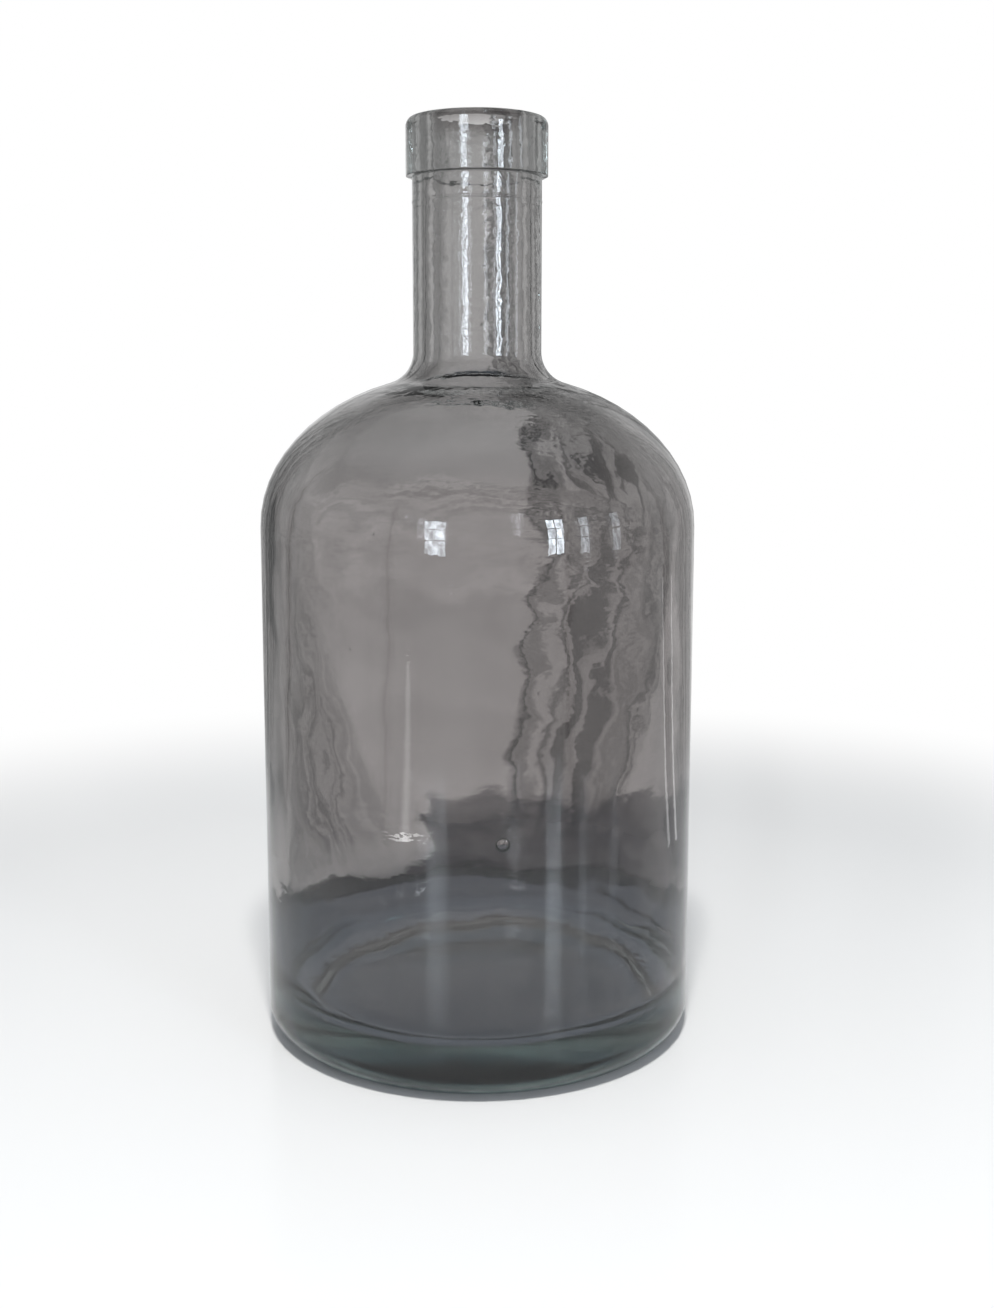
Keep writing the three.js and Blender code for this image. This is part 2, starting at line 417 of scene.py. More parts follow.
def outline_object(line):
    """The outline as a mesh of edges in the XZ plane, with its normals and shares."""
    mesh = bpy.data.meshes.new("outline")
    vertices = [(radius, 0.0, height) for radius, height in line.points]
    mesh.from_pydata(vertices, [(i, i + 1) for i in range(len(vertices) - 1)], [])
    # The outline starts and ends on the axis. Mirrored neighbours make its normal upright there.
    (first, first_height), (last, last_height) = line.points[1], line.points[-2]
    around = [(-first, first_height), *line.points, (-last, last_height)]
    normals = []
    for before, after in zip(around, around[2:]):
        run = Vector((after[0] - before[0], after[1] - before[1])).normalized()
        normals.extend((run.y, 0.0, -run.x))
    mesh.attributes.new("out", "FLOAT_VECTOR", "POINT").data.foreach_set("vector", normals)
    for name, shares in line.shares.items():
        mesh.attributes.new(name, "FLOAT", "POINT").data.foreach_set("value", shares)
    return new_object("outline", mesh)


# Node trees


class Nodes:
    """Short ways to add nodes to a tree, for shapes, finishes and lights alike."""

    def __init__(self, tree):
        self.tree = tree

    def add(self, kind, inputs=None, **settings):
        """A node with its settings, and its inputs fed."""
        node = self.tree.nodes.new(kind)
        for key, value in settings.items():
            setattr(node, key, value)
        for key, value in (inputs or {}).items():
            self.feed(node.inputs[key], value)
        return node

    def feed(self, socket, value):
        """Sets an input to a value, or links it to a socket or to a node's first output."""
        if isinstance(value, bpy.types.Node):
            value = value.outputs[0]
        if isinstance(value, bpy.types.NodeSocket):
            self.tree.links.new(value, socket)
        else:
            socket.default_value = value

    def math(self, operation, *values):
        return self.add("ShaderNodeMath", dict(enumerate(values)), operation=operation)

    def chain(self, operation, first, *others):
        """One value after another taken into the first."""
        for other in others:
            first = self.math(operation, first, other)
        return first

    def product(self, *values):
        return self.chain("MULTIPLY", *values)

    def bell(self, value):
        """1 where the value is 0, and less on both sides."""
        return self.math("EXPONENT", self.product(value, value, -1))

    def vector(self, operation, first, second=None):
        """One step of vector arithmetic. SCALE takes a number, and LENGTH gives one."""
        inputs = {0: first}
        if second is not None:
            inputs["Scale" if operation == "SCALE" else 1] = second
        node = self.add("ShaderNodeVectorMath", inputs, operation=operation)
        return node.outputs["Value" if operation == "LENGTH" else "Vector"]

    def split(self, place):
        """The three parts of a vector."""
        return self.add("ShaderNodeSeparateXYZ", {0: place}).outputs

    def joined(self, **parts):
        """A vector of its X, Y and Z."""
        return self.add("ShaderNodeCombineXYZ", parts)

    def ranged(self, value, start, end, low=0.0, high=1.0, kind="LINEAR"):
        """A value led from start and end to low and high, and held there beyond them."""
        return self.add("ShaderNodeMapRange", {
            "Value": value, "From Min": start, "From Max": end, "To Min": low, "To Max": high,
        }, interpolation_type=kind)

    def noise(self, place, scale, detail):
        """Soft random values round 0.5."""
        node = self.add("ShaderNodeTexNoise", {"Vector": place, "Scale": scale, "Detail": detail})
        return node.outputs["Fac"]

    def mixed(self, share, first, second):
        """A mix of two colours."""
        inputs = {0: share, 6: first, 7: second}
        return self.add("ShaderNodeMix", inputs, data_type="RGBA").outputs[2]

    def blend(self, share, first, second):
        """A mix of two shaders."""
        return self.add("ShaderNodeMixShader", {0: share, 1: first, 2: second})

    def ramp(self, value, stops):
        """A value from 0 to 1 led smoothly through stops, each a position and its level."""
        node = self.add("ShaderNodeValToRGB", {0: value})
        ramp = node.color_ramp
        ramp.interpolation = "EASE"
        ramp.elements[0].position = stops[0][0]
        ramp.elements[1].position = stops[-1][0]
        for position, _ in stops[1:-1]:
            ramp.elements.new(position)
        for element, (_, level) in zip(ramp.elements, stops):
            element.color = (level, level, level, 1.0)
        return node

    def levels(self, value, start, end, stops):
        """A value led smoothly through stops that lie between start and end."""
        stops = [((place - start) / (end - start), level) for place, level in stops]
        return self.ramp(self.ranged(value, start, end), stops)


class NodeSheet(Nodes):
    """A Geometry Nodes group with named inputs."""

    def __init__(self, name):
        super().__init__(bpy.data.node_groups.new(name, "GeometryNodeTree"))
        self.interface("Geometry", "NodeSocketGeometry", "INPUT")
        self.interface("Geometry", "NodeSocketGeometry", "OUTPUT")
        self.entry = self.add("NodeGroupInput")
        self.exit = self.add("NodeGroupOutput")
        self.identifiers = {}

    def interface(self, name, kind, way):
        return self.tree.interface.new_socket(name=name, socket_type=kind, in_out=way)

    def size(self, name, kind="NodeSocketFloat"):
        """A named input of the group; returns the socket that carries it."""
        socket = self.interface(name, kind, "INPUT")
        self.identifiers[name] = socket.identifier
        return next(s for s in self.entry.outputs if s.identifier == socket.identifier)

    def stored(self, name, kind="FLOAT"):
        node = self.add("GeometryNodeInputNamedAttribute", {"Name": name}, data_type=kind)
        return node.outputs["Attribute"]

    def swells(self, place, size, seed, detail, roughness=0.35):
        """Random values round 0 that change over the given size."""
        node = self.add("ShaderNodeTexNoise", {
            "Vector": place, "W": seed, "Scale": self.math("DIVIDE", 1, size),
            "Detail": detail, "Roughness": roughness,
        }, noise_dimensions="4D")
        return self.math("SUBTRACT", node.outputs["Fac"], 0.5)

    def turned(self, vector, turn):
        """A vector turned round the axis."""
        return self.add(
            "ShaderNodeVectorRotate", {"Vector": vector, "Angle": turn}, rotation_type="Z_AXIS")

    def random(self, low, high, channel):
        node = self.add("FunctionNodeRandomValue", data_type="FLOAT")
        sockets = [s for s in node.inputs if s.enabled and s.name in ("Min", "Max")]
        self.feed(sockets[0], low)
        self.feed(sockets[1], high)
        self.feed(node.inputs["Seed"], channel)
        return next(s for s in node.outputs if s.enabled)


# The turned glass

CROWD_ANGLE = math.radians(4)  # how far from a seam its crowd of columns reaches
CROWD_SHARE = 0.8  # how much closer together they stand at the seam
KNURL_FLANK = (-0.3, 0.6)  # of a wave round the ring, where a knurl rises from it and is full
SEED_FLATTENING = 0.55
MERGE_DISTANCE = 1e-6


def turned_wall(sheet, sizes):
    """The outline turned round the axis, with seams, knurls and an uneven inside."""
    outline = sheet.entry.outputs["Geometry"]
    count = sheet.add("GeometryNodeAttributeDomainSize", {"Geometry": outline}, component="MESH")
    rows, columns = count.outputs["Point Count"], sizes["columns"]
    grid = sheet.add(
        "GeometryNodeMeshGrid", {"Vertices X": sheet.math("ADD", columns, 1), "Vertices Y": rows})
    index = sheet.add("GeometryNodeInputIndex")
    row = sheet.math("MODULO", index, rows)
    column = sheet.math("FLOOR", sheet.math("DIVIDE", sheet.math("ADD", index, 0.5), rows))

    def at_row(value, kind="FLOAT"):
        inputs = {"Geometry": outline, "Value": value, "Index": row}
        node = sheet.add("GeometryNodeSampleIndex", inputs, data_type=kind, domain="POINT")
        return node.outputs["Value"]

    place = at_row(sheet.add("GeometryNodeInputPosition"), "FLOAT_VECTOR")
    out = at_row(sheet.stored("out", "FLOAT_VECTOR"), "FLOAT_VECTOR")
    share = {name: at_row(sheet.stored(name)) for name in SHARES}

    turn, from_seam = crowded_turn(sheet, column, columns)
    turned, outward = sheet.turned(place, turn), sheet.turned(out, turn)
    arc_length = sheet.product(from_seam, sheet.split(place)["X"])
    lift = sheet.chain(
        "ADD",
        seam_lift(sheet, sizes, arc_length, share["seam"]),
        knurl_lift(sheet, sizes, turn, share["ring"]),
        inside_lift(sheet, sizes, turned, share["inside"]),
        outside_lift(sheet, sizes, turned, share["outside"]),
    )
    moved = sheet.vector("ADD", turned, sheet.vector("SCALE", outward, lift))
    aside = sheet.joined(X=sheet.product(sizes["off_centre"], share["inside"]))
    made = sheet.add("GeometryNodeSetPosition", {
        "Geometry": grid, "Position": sheet.vector("ADD", moved, aside),
    })
    for name, value in (("outer_skin", share["skin"]), ("matt_base", share["matt"])):
        inputs = {"Geometry": made, "Name": name, "Value": value}
        made = sheet.add(
            "GeometryNodeStoreNamedAttribute", inputs, data_type="FLOAT", domain="POINT")
    return sheet.add("GeometryNodeMergeByDistance", {"Geometry": made, "Distance": MERGE_DISTANCE})


def crowded_turn(sheet, column, columns):
    """A column's turn round the axis, and its turn from the nearer mould seam.

    Columns crowd together at the two seams, a half turn apart, so that the thin ridges have shape.
    """
    even = sheet.product(sheet.math("DIVIDE", column, columns), 2 * math.pi)
    away = sheet.math("WRAP", even, QUARTER, -QUARTER)
    crowd = sheet.bell(sheet.math("DIVIDE", away, CROWD_ANGLE))
    pull = sheet.product(away, crowd, CROWD_SHARE)
    return sheet.math("SUBTRACT", even, pull), sheet.math("SUBTRACT", away, pull)


def seam_lift(sheet, sizes, arc_length, share):
    """A seam's top lies on the outline, and the wall beside it lower by the seam's height."""
    ridge = sheet.bell(sheet.math("DIVIDE", arc_length, sizes["seam_width"]))
    return sheet.product(sheet.math("SUBTRACT", ridge, 1), share, sizes["seam_height"])


def knurl_lift(sheet, sizes, turn, share):
    """Bars across the standing ring."""
    wave = sheet.math("COSINE", sheet.product(turn, sizes["knurls"]))
    return sheet.product(sheet.ranged(wave, *KNURL_FLANK), share, sizes["knurl_height"])


def inside_lift(sheet, sizes, turned, share):
    """Broad swells and fine ripples, which lie flat."""
    swell = sheet.swells(turned, sizes["wander_size"], sizes["random_seed"], 3.0, sizes["unrest"])
    flat = sheet.vector("MULTIPLY", turned, (0.3, 0.3, 1.0))
    ripple = sheet.swells(flat, sizes["ripple_size"], sizes["random_seed"], 1.0)
    both = sheet.math(
        "ADD", sheet.product(swell, 2, sizes["wander"]), sheet.product(ripple, 2, sizes["ripple"]))
    return sheet.product(both, share)


def outside_lift(sheet, sizes, turned, share):
    """Swells that only sink into the outside, so that the bottle keeps its sizes."""
    swell = sheet.swells(turned, sizes["swell_size"], sizes["random_seed"], 2.0)
    return sheet.product(sheet.math("SUBTRACT", swell, 0.5), sizes["swell"], share)


def seeds_in_wall(sheet, sizes):
    """Small bubbles in the straight wall. Their faces point into the bubble, out of the glass."""
    ball = sheet.add("GeometryNodeMeshIcoSphere", {"Radius": 1.0, "Subdivisions": 3})
    bubble = sheet.add("GeometryNodeFlipFaces", {"Mesh": ball})

    turn = sheet.random(0.0, 2 * math.pi, sizes["random_seed"])
    height = sheet.random(
        sizes["seed_low"], sizes["seed_high"], sheet.math("ADD", sizes["random_seed"], 1))
    radius = sheet.product(
        sizes["seed_radius"], sheet.random(0.5, 1.4, sheet.math("ADD", sizes["random_seed"], 2)))
    both = sheet.add("GeometryNodeJoinGeometry")
    for count, *where in (
        (sizes["seed_count"], turn, height, radius),
        (1, sizes["big_seed_turn"], sizes["big_seed_height"], sizes["big_seed_radius"]),
    ):
        points = sheet.add("GeometryNodePoints", {"Count": count})
        sheet.feed(both.inputs[0], place_seeds(sheet, sizes, points, bubble, *where))
    return both


def place_seeds(sheet, sizes, points, shape, turn, height, size):
    """Copies of a unit shape in the middle of the wall, flattened between its two faces."""
    place = sheet.joined(
        X=sheet.product(sizes["wall_middle"], sheet.math("COSINE", turn)),
        Y=sheet.product(sizes["wall_middle"], sheet.math("SINE", turn)),
        Z=height,
    )
    placed = sheet.add("GeometryNodeSetPosition", {"Geometry": points, "Position": place})
    return sheet.add("GeometryNodeInstanceOnPoints", {
        "Points": placed, "Instance": shape, "Rotation": sheet.joined(Z=turn),
        "Scale": sheet.joined(X=sheet.product(size, SEED_FLATTENING), Y=size, Z=size),
    })


def bottle_values(sizes, look):
    """The inputs of the bottle's tree, by name: lengths and shares first, then whole numbers."""
    values = {name: getattr(look, name) for name in (
        "seam_width", "seam_height", "wander", "wander_size", "unrest", "ripple", "ripple_size",
        "swell", "swell_size", "off_centre", "seed_radius", "seed_low", "seed_high",
        "big_seed_radius", "big_seed_height",
    )}
    values["knurl_height"] = sizes.knurl_height
    values["big_seed_turn"] = look.big_seed_angle - QUARTER
    values["wall_middle"] = sizes.body_diameter / 2 - sizes.body_wall / 2
    whole_values = {name: getattr(look, name) for name in ("columns", "seed_count", "random_seed")}
    whole_values["knurls"] = sizes.knurls
    return values, whole_values


def bottle_nodes(names, whole_names, glass):
    """The whole tree: the turned wall and its seeds as one mesh of one glass."""
    sheet = NodeSheet("Turned bottle")
    sizes = {name: sheet.size(name) for name in names}
    sizes.update({name: sheet.size(name, "NodeSocketInt") for name in whole_names})
    both = sheet.add("GeometryNodeJoinGeometry")
    sheet.feed(both.inputs[0], seeds_in_wall(sheet, sizes))
    sheet.feed(both.inputs[0], turned_wall(sheet, sizes))
    real = sheet.add("GeometryNodeRealizeInstances", {"Geometry": both})
    smooth = sheet.add("GeometryNodeSetShadeSmooth", {"Geometry": real})
    dressed = sheet.add("GeometryNodeSetMaterial", {"Geometry": smooth, "Material": glass})
    sheet.feed(sheet.exit.inputs[0], dressed)
    return sheet


def mesh_from_nodes(source, sheet, values, name):
    """Evaluates the tree on an object and gives back a plain mesh object."""
    modifier = source.modifiers.new("nodes", "NODES")
    modifier.node_group = sheet.tree
    for key, value in values.items():
        modifier[sheet.identifiers[key]] = value
    bpy.context.view_layer.update()
    depsgraph = bpy.context.evaluated_depsgraph_get()
    mesh = bpy.data.meshes.new_from_object(source.evaluated_get(depsgraph))
    mesh.name = name
    source.modifiers.remove(modifier)
    bpy.data.objects.remove(source)
    return new_object(name, mesh)


# Finishes


def bare_nodes(block):
    """The emptied tree of a material, a world or a light."""
    block.use_nodes = True
    block.node_tree.nodes.clear()
    return Nodes(block.node_tree)


def opaque(tint, share=1.0):
    """A colour with its alpha, made lighter or darker by a share."""
    return (*[min(1.0, part * share) for part in tint], 1.0)


def clear_glass(look):
    """Clear glass with a tinted skin, grey-green in its depth, with streaks, haze and dents."""
    made = bpy.data.materials.new("clear_glass")
    nodes = bare_nodes(made)
    place = nodes.add("ShaderNodeTexCoord").outputs["Object"]

    def stretched(scale):
        return nodes.add("ShaderNodeMapping", {"Vector": place, "Scale": scale})

    def share_of(name):
        return nodes.add("ShaderNodeAttribute", attribute_name=name).outputs["Fac"]

    tone = nodes.mixed(
        nodes.noise(stretched((1.0, 1.0, 0.12)), 160.0, 3.0),
        opaque(look.surface_tint, 1 - look.streaks), opaque(look.surface_tint, 1 + look.streaks))
    haze = nodes.ranged(nodes.noise(place, 38.0, 5.0), 0.45, 0.75, 0.0, look.haze)
    dents = nodes.noise(stretched((0.6, 0.6, 1.0)), 420.0, 2.0)
    throat, neck = 0.125, 0.155  # between these heights the dents deepen
    depth = nodes.ranged(nodes.split(place)["Z"], throat, neck, look.body_crinkle, 1.0)
    bump = nodes.add(
        "ShaderNodeBump", {"Height": dents, "Strength": depth, "Distance": look.crinkle})
    surface = nodes.add("ShaderNodeBsdfPrincipled", {
        "Base Color": nodes.mixed(share_of("outer_skin"), WHITE, tone),
        "Roughness": nodes.math("MULTIPLY_ADD", share_of("matt_base"), look.base_roughness, haze),
        "Normal": bump, "IOR": look.refraction, "Transmission Weight": 1.0,
    })
    volume = nodes.add("ShaderNodeVolumeAbsorption", {
        "Color": opaque(look.depth_tint), "Density": look.depth_density,
    })
    nodes.add(
        "ShaderNodeOutputMaterial", {"Surface": surface, "Volume": volume}, is_active_output=True)
    return made


# The white background and the floor. What the glass shows of them has gaps, folds, a painted shade
# and a painted dark patch.

# Gaps between the white panels all round: the azimuth of a gap's middle from +X, half its width
# and the width of its soft edges, in degrees, and its depth.
GAPS = (
    (-135.0, 5.0, 5.0, 1.0),
    (-45.0, 5.0, 5.0, 1.0),
    (22.5, 5.5, 5.5, 1.0),
    (50.5, 20.0, 12.0, 0.75),
    (78.4, 7.8, 0.8, 0.9),
    (87.2, 0.7, 0.35, 1.0),
    (124.0, 24.0, 12.0, 0.85),
    (157.5, 5.5, 5.5, 1.0),
)

# The painted shade's tone: by distance from the edge of its lighter middle, along which a painted
# dark edge runs, and by distance from the axis, where it is painted deep under the base's middle
# and light under its ring.
EDGE_TONE = ((-1 * MM, 1.0), (3 * MM, 0.2))
EDGE_DEPTH = 0.05
BASE_TONE = ((26 * MM, 0.70), (41 * MM, 1.1), (50 * MM, 1.05), (60 * MM, 0.72))
SHADE_RANGE = 0.2

# The painted dark patch on the right, which only the glass shows: how deep it is by X and by Y.
PATCH_ACROSS = ((-26 * MM, 0.0), (-20 * MM, 1.0))
PATCH_BACK = ((60 * MM, 0.0), (75 * MM, 1.0), (170 * MM, 0.9), (195 * MM, 0.0))


def seen_as_background(nodes):
    """1 where a ray comes from the camera, a reflection or a refraction."""
    path = nodes.add("ShaderNodeLightPath").outputs
    kinds = ("Is Camera Ray", "Is Glossy Ray", "Is Transmission Ray")
    return nodes.chain("MAXIMUM", *(path[kind] for kind in kinds))


def seen_in_glass(nodes, share):
    """A share that holds only for what is seen through the glass."""
    through = nodes.add("ShaderNodeLightPath").outputs["Is Transmission Ray"]
    return nodes.product(share, through)


def panel_gaps(nodes, heading):
    """How deep in a gap between the panels a direction lies, or a place seen from above."""
    parts = nodes.split(heading)
    azimuth = nodes.math("ARCTAN2", parts["Y"], parts["X"])
    turn = nodes.math(
        "MULTIPLY_ADD", nodes.noise(heading, 9.0, 2.0), 0.02,
        nodes.ranged(azimuth, -math.pi, math.pi))
    turn = nodes.math("SUBTRACT", turn, 0.01)
    stops = [(0.0, 0.0), (1.0, 0.0)]
    for middle, half, edge, depth in GAPS:
        inner = half - edge
        turns = {-half: 0.0, -inner: depth, inner: depth, half: 0.0}
        stops += [((middle + degrees) / 360 + 0.5, level) for degrees, level in turns.items()]
    fold = nodes.add("ShaderNodeTexNoise", {
        "W": turn, "Scale": 220.0, "Detail": 2.0,
    }, noise_dimensions="1D").outputs["Fac"]
    return nodes.product(nodes.ramp(turn, sorted(stops)), nodes.ranged(fold, 0.4, 0.6, 0.5, 1.0))


def soft_patches(nodes, stage, place, scale):
    """Slow changes of brightness, as even white panels have in daylight."""
    return nodes.ranged(nodes.noise(place, scale, 2.0), 0.4, 0.62, 0.0, stage.patches)


def dimmed_white(nodes, stage, dim):
    """Strength of the white background: 1 for the camera, and dimmed for the glass."""
    direct = nodes.add("ShaderNodeLightPath").outputs["Is Camera Ray"]
    share = nodes.product(dim, nodes.math("SUBTRACT", 1.0, direct))
    return nodes.ranged(share, 0.0, 1.0, 1.0, stage.dim_level)


def strayed_place(nodes, stage, place):
    """A place moved a little by noise, so that outlines on the floor aren't straight."""
    noise = nodes.add("ShaderNodeTexNoise", {"Vector": place, "Scale": 26.0, "Detail": 2.0})
    centred = nodes.vector("SUBTRACT", noise.outputs["Color"], (0.5, 0.5, 0.5))
    scaled = nodes.vector("MULTIPLY", centred, (stage.straying, stage.straying, 0.0))
    return nodes.vector("ADD", place, scaled)


def painted_bottle_shade(nodes, stage, place, away):
    """Colour and share of a painted shade round the bottle, with a painted dark edge: a darker
    floor that only the glass shows, standing in for the bottle's shadow behind and under it.
    """
    stretch = nodes.vector("MULTIPLY", place, (1 / stage.shade_spread, 1.0, 1.0))
    reach = nodes.vector("LENGTH", stretch)
    far = stage.shade_reach
    within = nodes.levels(reach, 0.0, SHADE_RANGE, [(far - 1 * MM, 1.0), (far + 4 * MM, 0.0)])
    behind = nodes.ranged(
        nodes.split(place)["Y"], -stage.shade_front - 6 * MM, -stage.shade_front + 6 * MM,
        kind="SMOOTHSTEP")
    border = nodes.levels(reach, 0.0, SHADE_RANGE, [
        *((far - stage.shade_edge + past, level) for past, level in EDGE_TONE),
        (far, EDGE_DEPTH), (far + 4 * MM, EDGE_DEPTH),
    ])
    tone = nodes.product(border, nodes.levels(away, 0.0, SHADE_RANGE, BASE_TONE))
    return nodes.vector("SCALE", tuple(stage.shade_tint), tone), nodes.product(within, behind)


def painted_dark_patch(nodes, stage, place):
    """Colour and share of a painted dark patch behind the painted shade, on the right, which only
    the glass shows.
    """
    parts = nodes.split(place)
    across = nodes.levels(parts["X"], -0.1, 0.1, PATCH_ACROSS)
    back = nodes.levels(parts["Y"], 0.0, 0.3, PATCH_BACK)
    cloud = nodes.ranged(nodes.noise(place, 34.0, 3.0), 0.38, 0.58, 0.78, 1.0)
    return opaque(stage.painted_patch_tint), nodes.product(across, back, cloud)


def pale_floor(stage):
    """A lit pale floor round the bottle, which fades into the white background further out.
    Through the glass it shows a painted shade and a painted dark patch near the bottle.
    """
    made = bpy.data.materials.new("pale_floor")
    nodes = bare_nodes(made)
    place = nodes.add("ShaderNodeTexCoord").outputs["Object"]
    away = nodes.vector("LENGTH", place)
    far_out = nodes.product(
        nodes.ranged(away, stage.floor_clear, stage.floor_fade, kind="SMOOTHSTEP"),
        seen_as_background(nodes))
    in_glass = seen_in_glass(
        nodes, nodes.ranged(away, stage.shade_reach, stage.glass_fade, kind="SMOOTHSTEP"))
    lit = nodes.add("ShaderNodeBsdfPrincipled", {
        "Base Color": nodes.mixed(
            nodes.noise(place, 60.0, 4.0),
            opaque(stage.floor_tint, 0.995), opaque(stage.floor_tint)),
        "Roughness": stage.floor_roughness, "IOR": stage.floor_index,
    })
    dim = nodes.math("MAXIMUM", panel_gaps(nodes, place), soft_patches(nodes, stage, place, 3.0))
    white = nodes.add(
        "ShaderNodeEmission", {"Color": WHITE, "Strength": dimmed_white(nodes, stage, dim)})
    shaded = nodes.blend(nodes.math("MAXIMUM", far_out, in_glass), lit, white)
    strayed = strayed_place(nodes, stage, place)
    # Painted marks that only the glass shows: a dark patch, and a shade in place of the bottle's
    # shadow.
    for tint, share in (
        painted_dark_patch(nodes, stage, strayed),
        painted_bottle_shade(nodes, stage, strayed, away),
    ):
        tone = nodes.add("ShaderNodeEmission", {"Color": tint})
        shaded = nodes.blend(seen_in_glass(nodes, share), shaded, tone)
    nodes.add("ShaderNodeOutputMaterial", {"Surface": shaded})
    return made


# Operators


class BOTTLE_OT_glass(bpy.types.Operator):
    """Turn the bottle's glass from its sizes"""

    bl_idname = "bottle.turn_glass"
    bl_label = "Turn the glass"

    def execute(self, context):
        sizes, look = context.scene.bottle_sizes, context.scene.bottle_glass
        values, whole_values = bottle_values(sizes, look)
        sheet = bottle_nodes(values, whole_values, clear_glass(look))
        outline = outline_object(bottle_outline(sizes))
        bottle = mesh_from_nodes(outline, sheet, {**values, **whole_values}, "bottle_glass")
        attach(bottle, BODY)
        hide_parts(NODE)
        return {"FINISHED"}


# Windows in front: name, azimuth right of the camera's side in degrees, width, share of the
# power, and panes across and up.
WINDOWS = (
    ("left_window", -21, 0.26, 1.0, (1, 3)),
    ("right_window", 39, 0.19, 1.25, (2, 3)),
    ("far_window", 55, 0.12, 0.2, (1, 3)),
    ("last_window", 74, 0.12, 0.12, (1, 2)),
)

# Strips of light on the floor, mirrored in the wall as thin lines: name, the same azimuth, nearest
# and furthest distance from the axis, width, and power in watts.
STRIPS = (
    ("left_strip", -34, 0.215, 0.52, 0.030, 0.055),
    ("right_strip", 109, 0.17, 0.80, 0.014, 0.045),
    ("last_strip", 118, 0.17, 0.80, 0.014, 0.045),
    ("glint", -34, 0.213, 0.217, 0.100, 0.010),
)
STRIP_HEIGHT = 1 * MM

# Dark bars of a window: the axis, and half a bar's width as a share of a pane.
BARS = (("X", 0.10), ("Y", 0.05))


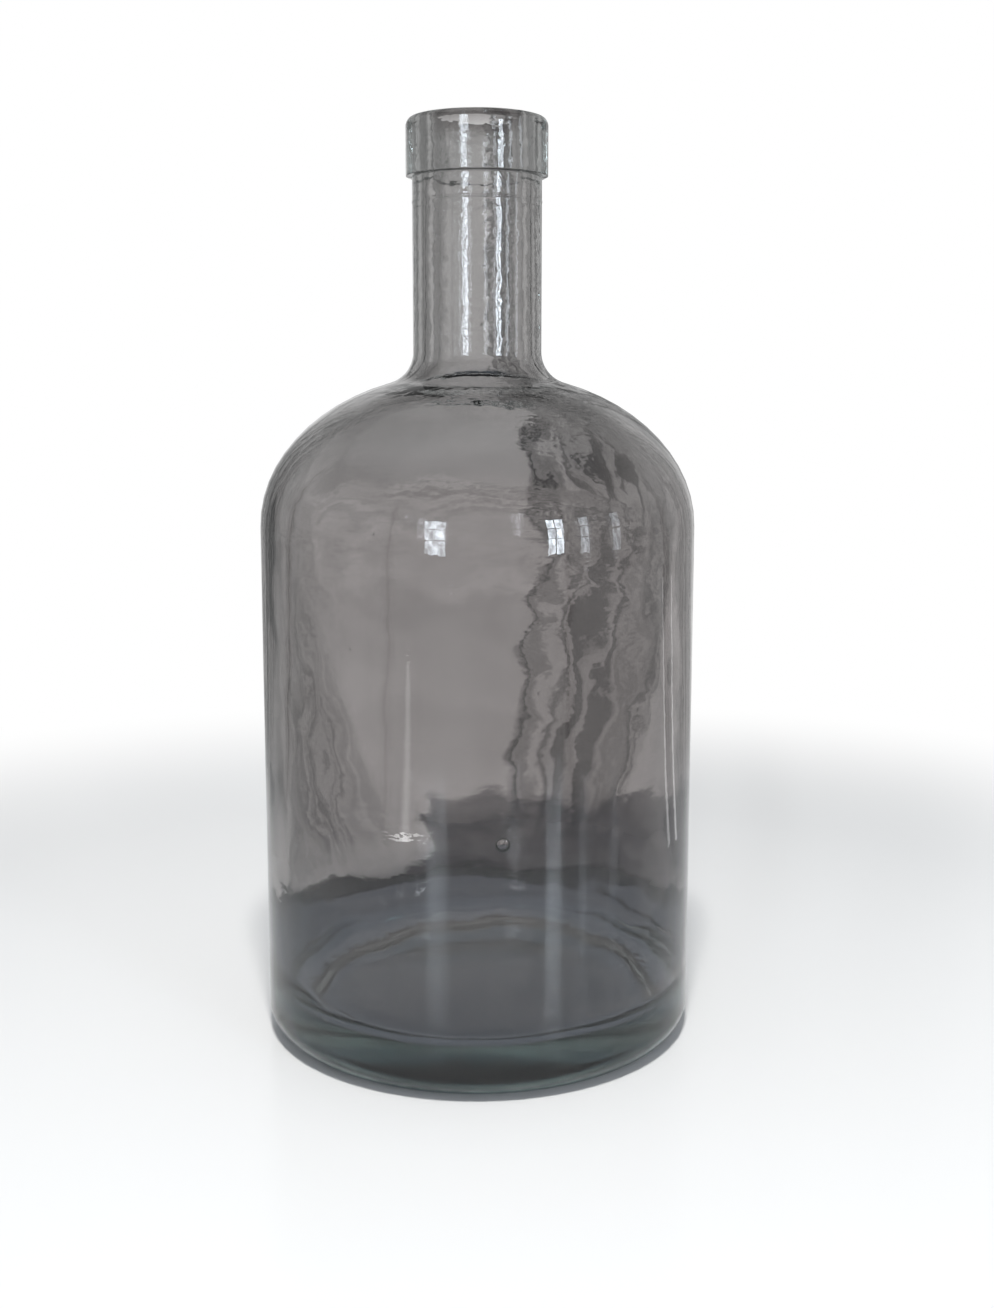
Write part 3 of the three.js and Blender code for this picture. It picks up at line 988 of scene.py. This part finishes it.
class BOTTLE_OT_stage(bpy.types.Operator):
    """Set the floor, the world, the lamps and the camera"""

    bl_idname = "bottle.set_stage"
    bl_label = "Set the stage"

    def execute(self, context):
        stage = context.scene.bottle_stage
        self.lay_floor(stage)
        self.fill_world(context, stage)
        self.hang_lamps(stage)
        self.aim_camera(context, stage)
        context.scene.view_settings.view_transform = "Standard"
        return {"FINISHED"}

    def lay_floor(self, stage, steps=96):
        turns = [2 * math.pi * i / steps for i in range(steps)]
        radius = stage.floor_radius
        rim = [(radius * math.cos(turn), radius * math.sin(turn), 0.0) for turn in turns]
        mesh = bpy.data.meshes.new("floor")
        mesh.from_pydata(rim, [], [list(range(steps))])
        mesh.materials.append(pale_floor(stage))
        new_object("floor", mesh)

    def fill_world(self, context, stage):
        """An even light, and the white panels that the camera and the glass see."""
        world = bpy.data.worlds.new("pale_world")
        nodes = bare_nodes(world)
        even = nodes.add("ShaderNodeBackground", {
            "Color": opaque(stage.even_tint), "Strength": stage.even_level,
        })
        seen = nodes.add("ShaderNodeBackground", {
            "Color": WHITE, "Strength": self.white_panels(nodes, stage),
        })
        both = nodes.blend(seen_as_background(nodes), even, seen)
        nodes.add("ShaderNodeOutputWorld", {"Surface": both})
        context.scene.world = world

    def white_panels(self, nodes, stage):
        """White all round at eye level; what glass shows dims overhead and in gaps."""
        heading = nodes.add("ShaderNodeTexCoord").outputs["Generated"]
        overhead = nodes.ranged(
            nodes.split(heading)["Z"], math.sin(stage.dim_from), math.sin(stage.dim_to),
            kind="SMOOTHSTEP")
        dim = nodes.chain(
            "MAXIMUM", panel_gaps(nodes, heading), soft_patches(nodes, stage, heading, 4.0),
            overhead)
        return dimmed_white(nodes, stage, dim)

    def hang_lamps(self, stage):
        key = self.lamp(
            stage, "key_lamp", 0, stage.key_elevation, stage.key_distance,
            (stage.key_size, stage.key_size), stage.key_power)
        key.data.color = stage.key_tint
        key.visible_glossy = False
        key.visible_transmission = False
        for name, azimuth, width, share, panes in WINDOWS:
            window = self.lamp(
                stage, name, azimuth, stage.window_elevation, stage.window_distance,
                (width, stage.window_height), stage.window_power * share)
            window.data.color = stage.window_tint
            self.glaze(window.data, panes)
        for name, azimuth, near, far, width, power in STRIPS:
            size = (width, far - near)
            strip = self.lamp(stage, name, azimuth, 0.0, (near + far) / 2, size, power)
            strip.location.z = STRIP_HEIGHT
            strip.rotation_euler = (math.pi, 0.0, math.radians(azimuth))
            strip.visible_transmission = False
            self.soften(strip.data)

    def lamp(self, stage, name, azimuth, elevation, distance, size, power):
        """A soft box that faces the bottle; azimuth is right of the camera's side, in degrees."""
        light = bpy.data.lights.new(name, "AREA")
        light.shape = "RECTANGLE"
        light.size, light.size_y = size
        light.energy = power
        holder = new_object(name, light)
        turn, level = math.radians(azimuth), math.cos(elevation)
        heading = Vector((math.sin(turn) * level, -math.cos(turn) * level, math.sin(elevation)))
        holder.location = Vector((0.0, 0.0, stage.lamp_aim)) + heading * distance
        holder.rotation_euler = heading.to_track_quat("Z", "Y").to_euler()
        return holder

    def on_lamp(self, light):
        """A lamp's tree, and a place on its face, whose X and Y run from 0 to 1."""
        nodes = bare_nodes(light)
        return nodes, nodes.add("ShaderNodeNewGeometry").outputs["Parametric"]

    def from_middle(self, nodes, value):
        """How far a value from 0 to 1 lies from 0.5."""
        return nodes.math("ABSOLUTE", nodes.math("SUBTRACT", value, 0.5))

    def glow(self, nodes, strength):
        glow = nodes.add("ShaderNodeEmission", {"Strength": strength})
        nodes.add("ShaderNodeOutputLight", {0: glow})

    def soften(self, light):
        """Light that fades from the middle line of a strip to its long sides."""
        nodes, place = self.on_lamp(light)
        away = self.from_middle(nodes, nodes.split(place)["X"])
        self.glow(nodes, nodes.ranged(away, 0.5, 0.0, kind="SMOOTHSTEP"))

    def glaze(self, light, panes):
        """Dark bars between a window's panes, and an uneven sky in them."""
        nodes, place = self.on_lamp(light)
        parts = nodes.split(place)
        clear = []
        for (axis, bar), count in zip(BARS, panes):
            within = nodes.math("FRACT", nodes.product(parts[axis], float(count)))
            away = self.from_middle(nodes, within)
            clear.append(nodes.ranged(away, 0.5 - bar, 0.5 - bar / 2, 1.0, 0.0))
        sky = nodes.ranged(nodes.noise(place, 3.0, 2.0), 0.35, 0.65, 0.25, 1.3)
        self.glow(nodes, nodes.product(*clear, sky))

    def aim_camera(self, context, stage):
        data = bpy.data.cameras.new("camera")
        data.sensor_width = 36.0
        data.lens = stage.camera_lens
        data.shift_y = stage.camera_shift
        camera = new_object("camera", data)
        camera.location = (0.0, -stage.camera_distance, stage.camera_height)
        camera.rotation_euler = Euler((QUARTER - stage.camera_pitch, 0.0, -stage.camera_yaw))
        context.scene.camera = camera


class BOTTLE_PT_panel(bpy.types.Panel):
    """Sizes, glass and stage of the bottle"""

    bl_idname = "BOTTLE_PT_panel"
    bl_label = "Glass Bottle"
    bl_space_type = "VIEW_3D"
    bl_region_type = "UI"
    bl_category = "Bottle"

    def draw(self, context):
        for operator, group in (
            ("bottle.turn_glass", context.scene.bottle_sizes),
            (None, context.scene.bottle_glass),
            ("bottle.set_stage", context.scene.bottle_stage),
        ):
            box = self.layout.box()
            for name in group.__annotations__:
                box.prop(group, name)
            if operator:
                box.operator(operator)


GROUPS = {"bottle_sizes": BottleSizes, "bottle_glass": BottleGlass, "bottle_stage": BottleStage}
CLASSES = (*GROUPS.values(), BOTTLE_OT_glass, BOTTLE_OT_stage, BOTTLE_PT_panel)


def register():
    for cls in CLASSES:
        bpy.utils.register_class(cls)
    for name, group in GROUPS.items():
        setattr(bpy.types.Scene, name, PointerProperty(type=group))


def unregister():
    for name in GROUPS:
        delattr(bpy.types.Scene, name)
    for cls in reversed(CLASSES):
        bpy.utils.unregister_class(cls)


def main():
    register()
    bpy.ops.bottle.turn_glass()
    bpy.ops.bottle.set_stage()


if __name__ == "__main__":
    main()
